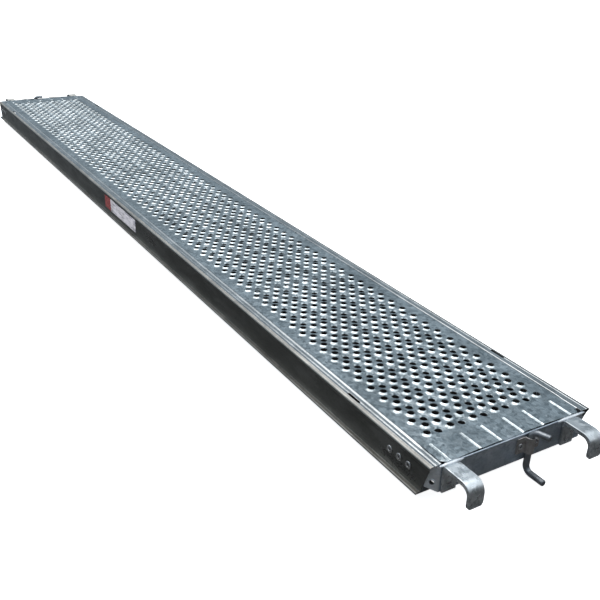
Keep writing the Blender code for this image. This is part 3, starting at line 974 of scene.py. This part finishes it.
def rod_rings(path):
    """Circles along a smooth path, with domed ends."""
    sides = 20
    dome = ((0.0, 0.55), (0.25, 0.80), (0.60, 0.95), (1.0, 1.0))
    stations = []
    normal = (path[1] - path[0]).orthogonal().normalized()
    for index, point in enumerate(path):
        ahead = path[min(index + 1, len(path) - 1)] - path[max(index - 1, 0)]
        ahead.normalize()
        normal = (normal - ahead * normal.dot(ahead)).normalized()
        stations.append((point, ahead, normal))
    placed = [(*stations[0], along, share) for along, share in dome]
    placed += [(*station, 0.0, 1.0) for station in stations[1:-1]]
    placed += [(*stations[-1], -along, share) for along, share in reversed(dome)]
    rings = []
    for point, ahead, normal, along, share in placed:
        centre = point + ahead * ROD_RADIUS * 0.45 * along
        other = ahead.cross(normal)
        rings.append([centre + (normal * math.cos(turn) + other * math.sin(turn)) * (ROD_RADIUS * share)
                      for turn in (2 * math.pi * step / sides for step in range(sides))])
    return rings


def rod_shape(turn, matrix):
    """Upper arm, shank and foot about the latch's upright axis, read from the near rod's box."""
    twist = math.radians(20)
    arm_reach, foot_reach, bend = 0.029, 0.038, 0.011
    top = Vector((0, 0, ROD_HIGH.z - ROD_RADIUS))
    bottom = Vector((0, 0, ROD_LOW.z + ROD_RADIUS))
    arm = Vector((math.sin(twist), -math.cos(twist), 0))
    corners = [top + arm * arm_reach, top, bottom, bottom + Vector((0, -foot_reach, 0))]
    bm = loft(rod_rings(rounded(corners, bend, steps=12)))
    return finish_mesh("latch rod", bm, 50, matrix @ LATCH_STAND @ Matrix.Rotation(turn, 4, "Z"))


def saddle_shape(matrix):
    """A half-round over the rod between two flat ears, with its edges rounded."""
    flat = LATCH_OUT - CAP_FRONT - GAP - SADDLE_SHEET / 2
    radius = ROD_RADIUS + GAP + SADDLE_SHEET / 2
    ear = (SADDLE_HIGH.x - SADDLE_LOW.x) / 2
    side = [Vector((-ear, flat)), Vector((-ear + 0.001, flat)), Vector((-radius - 0.0030, flat)),
            Vector((-radius - 0.0012, flat - 0.0003)), Vector((-radius - 0.0003, flat - 0.0012))]
    around = [Vector((point.x, -point.y)) for point in arc((0, 0), radius, 180, 0, 16)]
    path = side + around + [Vector((-point.x, point.y)) for point in reversed(side)]
    left, right = sides_of(path, SADDLE_SHEET)
    rings = []
    for index, (first, second) in enumerate(zip(left, right)):
        shy = 0.0012 if index in (0, len(left) - 1) else 0.0
        rings.append(upright_ring(first, second, SADDLE_LOW.z + shy, SADDLE_HIGH.z - shy, (0.0006,) * 4, 2))
    cutters = []
    for side in (-1, 1):
        place = Matrix.Translation(saddle_rivet_place(side))
        cutters.append((round_cutter(SADDLE_RIVET_HOLE, CAP_CUT), place @ OUTWARD))
    shape = carved(finish_mesh("latch saddle", loft(rings), 38, LATCH_STAND), cutters)
    shape.transform(matrix)
    shape.materials.clear()
    return shape


def make_latches(finishes):
    # the far rod takes a paler copy of the rod's finish: painted light
    for (end, matrix), turn, finish in zip(ENDS, (0.0, FAR_LATCH_TURN), ("rod", "pale rod")):
        add_piece(f"rod_{end}", rod_shape(turn, matrix), f"latch_{end}", f"latch_rod_{end}",
                  finishes[finish])
        add_piece(f"saddle_{end}", saddle_shape(matrix), "plank", f"latch_saddle_{end}",
                  finishes["saddle"])


# ---- rivets

def rivet_profile(barrel, bore, head, low, high):
    """A hollow rivet through sheets between two heights, with a domed, rolled-in head and a flat tail."""
    dome, tail, edge = 0.0016, 0.0012, 0.0003
    low, high = low - GAP, high + GAP
    profile = [(bore, low - tail + edge), (bore + edge, low - tail), (head * 0.8, low - tail),
               (head * 0.8, low), (barrel, low), (barrel, high), (head - edge, high), (head, high + edge)]
    steps = 8
    for step in range(1, steps + 1):
        angle = math.pi / 2 * step / steps
        reach = bore + (head - bore) * math.cos(angle) ** 0.8
        profile.append((max(reach, bore + 0.0004), high + edge + (dome - edge) * math.sin(angle)))
    profile.append((bore, high + dome * 0.6))
    return profile


WEB_RIVET = rivet_profile(0.0036, 0.0022, 0.0060, -SHEET - GAP - CAP_SHEET, 0.0)
SADDLE_RIVET = rivet_profile(0.0027, 0.0016, 0.0052, -CAP_SHEET, GAP + SADDLE_SHEET)


def add_rivet(kind, number, profile, matrix, finishes):
    shape = finish_mesh("hollow rivet", turned(profile, 28), 45, matrix)
    add_piece(f"{kind}_tube_rivet_{number}", shape, "plank", f"{kind}_rivet_{number}", finishes["rivet"])


def make_rivets(finishes):
    for end, matrix in ENDS:
        for side, word in ((-1, "left"), (1, "right")):
            facing = Matrix.Rotation(math.pi if side < 0 else 0, 4, "Z") @ ACROSS
            for number, from_end in enumerate(WEB_RIVET_Y, start=1):
                middle = near_place(side * (HALF_WIDTH - WEB_OUTER), from_end, -WEB_RIVET_DEPTH)
                place = Matrix.Translation(middle)
                add_rivet("web", f"{end}_{word}_{number}", WEB_RIVET, matrix @ place @ facing, finishes)
            place = Matrix.Translation(saddle_rivet_place(side, -CAP_FRONT))
            add_rivet("saddle", f"{end}_{word}", SADDLE_RIVET, matrix @ place @ OUTWARD, finishes)


def finish_carried_nodes(finishes):
    """CAD nodes that keep their own shape get a finish for their kind."""
    for name, item in frame["nodes"].items():
        for prefix, finish in (("deck_stiffener", "beam"), ("side_label", "label")):
            if name.startswith(prefix):
                item.data.materials.clear()
                item.data.materials.append(finishes[finish])


# ---- stage

CAMERA_PLACE = Vector((-0.7934, -1.9101, 0.7399))
CAMERA_AIM = Vector((-0.0435, -0.7227, 0.0695))
CAMERA_ROLL = math.radians(2.406)
CAMERA_LENS = 48.35
PAINTED_SHADOW_PATCH = (("X", 0.02, 0.155), ("Y", 0.0, 1.225))  # axis, middle and half size of the painted shadow under the plank
PAINTED_SHADOW_FADE = 0.03
BRIGHT_PATCH = Vector((-0.04, 0.30, 0.95))  # towards the brightest part of the sky

# Side lights: direction, cosine of the angle from it where the light starts and where it is full, level
LEFT_LIGHT = (Vector((-0.45, 0.85, 0.30)), 0.84, 0.93, 0.3)  # low, beyond the far end
RIGHT_LIGHT = (Vector((0.62, -0.25, 0.74)), 0.80, 0.95, 0.9)  # high over the near end's right
HORIZON_FADE = 0.10


def make_camera():
    data = bpy.data.cameras.new("camera")
    data.lens = CAMERA_LENS
    data.sensor_width = 36.0
    data.clip_end = 50.0
    camera = linked("camera", data)
    camera.location = CAMERA_PLACE
    camera.rotation_mode = "QUATERNION"
    level = (CAMERA_AIM - CAMERA_PLACE).to_track_quat("-Z", "Y")
    camera.rotation_quaternion = level @ Quaternion((0, 0, 1), CAMERA_ROLL)
    bpy.context.scene.camera = camera


def faded(tree, source, start, full, level=1.0):
    """Nothing up to one value of the source, then a smooth rise to the level at another."""
    fade = new_node(tree, "MapRange", Value=source, From_Min=start, From_Max=full, To_Max=level)
    fade.interpolation_type = "SMOOTHSTEP"
    return fade.outputs["Result"]


def floor_finish():
    """Near white, with a painted shadow under the plank: dark paint and no glow there, fading at its edge."""
    made, tree, shader = shader_of("floor")
    axes = place_axes(tree)
    painted_shadow_mask = 1.0
    for axis, middle, half in PAINTED_SHADOW_PATCH:
        reach = math_node(tree, "ABSOLUTE", math_node(tree, "SUBTRACT", axes[axis], middle))
        painted_shadow_mask = math_node(tree, "MULTIPLY", faded(tree, reach, half, half - PAINTED_SHADOW_FADE), painted_shadow_mask)
    # painted shadow: dark paint and no glow under the plank
    paint = mixed(tree, painted_shadow_mask, (0.93, 0.93, 0.93), (0.012, 0.012, 0.013))
    light = mixed(tree, painted_shadow_mask, (0.88, 0.88, 0.88), (0.0, 0.0, 0.0))
    tree.links.new(paint, shader.inputs["Base Color"])
    tree.links.new(light, shader.inputs["Emission Color"])
    shader.inputs["Emission Strength"].default_value = 1.0
    shader.inputs["Roughness"].default_value = 0.9
    shader.inputs["Specular IOR Level"].default_value = 0.1
    return made


def make_floor():
    bm = bmesh.new()
    bmesh.ops.create_grid(bm, x_segments=1, y_segments=1, size=15.0)
    floor = linked("floor", bpy.data.meshes.new("floor"))
    bm.to_mesh(floor.data)
    bm.free()
    floor.location.z = -0.0005
    floor.data.materials.append(floor_finish())
    floor.visible_glossy = False


def glow(tree, direction, aim, start, full, level):
    """A soft round light in the sky about an aim."""
    return faded(tree, vector_math(tree, "DOT_PRODUCT", direction, aim.normalized()), start, full, level)


def make_sky():
    """A studio dome: a broad bright patch high up, mid grey round it, dark below, and two dim side lights."""
    world = bpy.data.worlds.new("studio")
    bpy.context.scene.world = world
    world.use_nodes = True
    tree = world.node_tree
    dome = tree.nodes["Background"]
    direction = new_node(tree, "TexCoord").outputs["Generated"]
    near_patch = vector_math(tree, "DOT_PRODUCT", direction, BRIGHT_PATCH.normalized())
    share = new_node(tree, "MapRange", Value=near_patch, From_Min=-1.0).outputs["Result"]
    sky = ramp(tree, share, (
        (0.44, (0.012, 0.012, 0.012)), (0.56, (0.05, 0.055, 0.06)), (0.66, (0.075, 0.093, 0.107)),
        (0.86, (0.096, 0.121, 0.140)), (0.92, (0.34, 0.36, 0.375)), (0.955, (1.0, 1.0, 1.0))))
    feed(tree, (dome.inputs["Color"], dome.inputs["Strength"]), (sky, 3.0))
    above = glow(tree, direction, Vector((0, 0, 1)), 0.0, HORIZON_FADE, 1.0)
    left = math_node(tree, "MULTIPLY", glow(tree, direction, *LEFT_LIGHT), above)
    right = glow(tree, direction, *RIGHT_LIGHT)
    strength = math_node(tree, "ADD", left, right)
    lights = new_node(tree, "Background", Color=(0.95, 0.98, 1.0), Strength=strength)
    both = new_node(tree, "AddShader")
    feed(tree, both.inputs, (dome.outputs["Background"], lights.outputs["Background"]))
    tree.links.new(both.outputs["Shader"], tree.nodes["World Output"].inputs["Surface"])


def main():
    make_camera()
    make_floor()
    make_sky()
    finishes = make_finishes()
    finish_carried_nodes(finishes)
    make_deck(finishes)
    make_beams(finishes)
    make_caps(finishes)
    make_hooks(finishes)
    make_latches(finishes)
    make_rivets(finishes)
    bpy.context.scene.view_settings.view_transform = "Standard"


main()
